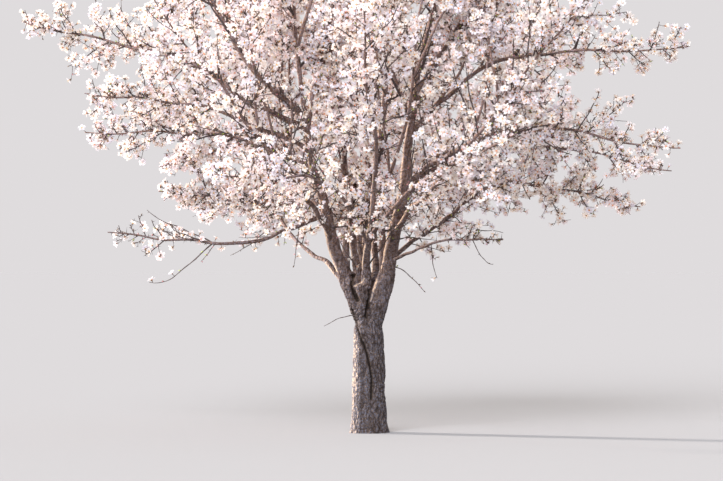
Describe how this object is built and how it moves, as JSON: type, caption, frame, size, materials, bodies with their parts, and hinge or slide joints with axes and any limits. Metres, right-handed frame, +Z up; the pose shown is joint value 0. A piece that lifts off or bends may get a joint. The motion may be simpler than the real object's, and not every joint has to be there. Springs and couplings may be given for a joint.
{
  "type": "almond tree",
  "caption": "Almond tree in full white blossom: a short forked trunk, upright spreading boughs and airy masses of flowering twigs.",
  "frame": {"origin": "middle of the trunk's flat cut at ground level", "axes": "+Z up, +X to the right and +Y away from the viewer as the picture sees the tree"},
  "size_m": [4.15, 3.9536, 4.1627],
  "materials": {
    "bark": "matt, furrowed",
    "blossom": "matt petals"
  },
  "bodies": {
    "root": {"blossom_back": "blossom", "blossom_back_left": "blossom", "blossom_back_low_left": "blossom", "blossom_back_low_right": "blossom", "blossom_back_right": "blossom", "blossom_centre": "blossom", "blossom_centre_back": "blossom", "blossom_centre_left": "blossom", "blossom_front": "blossom", "blossom_front_high": "blossom", "blossom_front_left": "blossom", "blossom_front_low_left": "blossom", "blossom_front_low_right": "blossom", "blossom_front_right": "blossom", "blossom_left": "blossom", "blossom_left_arm": "blossom", "blossom_left_back": "blossom", "blossom_left_low": "blossom", "blossom_left_mid": "blossom", "blossom_left_under": "blossom", "blossom_left_upper": "blossom", "blossom_low_left": "blossom", "blossom_low_right": "blossom", "blossom_right": "blossom", "blossom_right_arm": "blossom", "blossom_right_back": "blossom", "blossom_right_back_low": "blossom", "blossom_right_high": "blossom", "blossom_right_upper": "blossom", "bough_back": "bark", "bough_back_left": "bark", "bough_back_low_left": "bark", "bough_back_low_right": "bark", "bough_back_right": "bark", "bough_centre": "bark", "bough_centre_back": "bark", "bough_centre_left": "bark", "bough_front": "bark", "bough_front_high": "bark", "bough_front_left": "bark", "bough_front_low_left": "bark", "bough_front_low_right": "bark", "bough_front_right": "bark", "bough_left": "bark", "bough_left_arm": "bark", "bough_left_back": "bark", "bough_left_low": "bark", "bough_left_mid": "bark", "bough_left_under": "bark", "bough_left_upper": "bark", "bough_low_left": "bark", "bough_low_right": "bark", "bough_right": "bark", "bough_right_arm": "bark", "bough_right_back": "bark", "bough_right_back_low": "bark", "bough_right_high": "bark", "bough_right_upper": "bark", "trunk": "bark"}
  },
  "joints": []
}
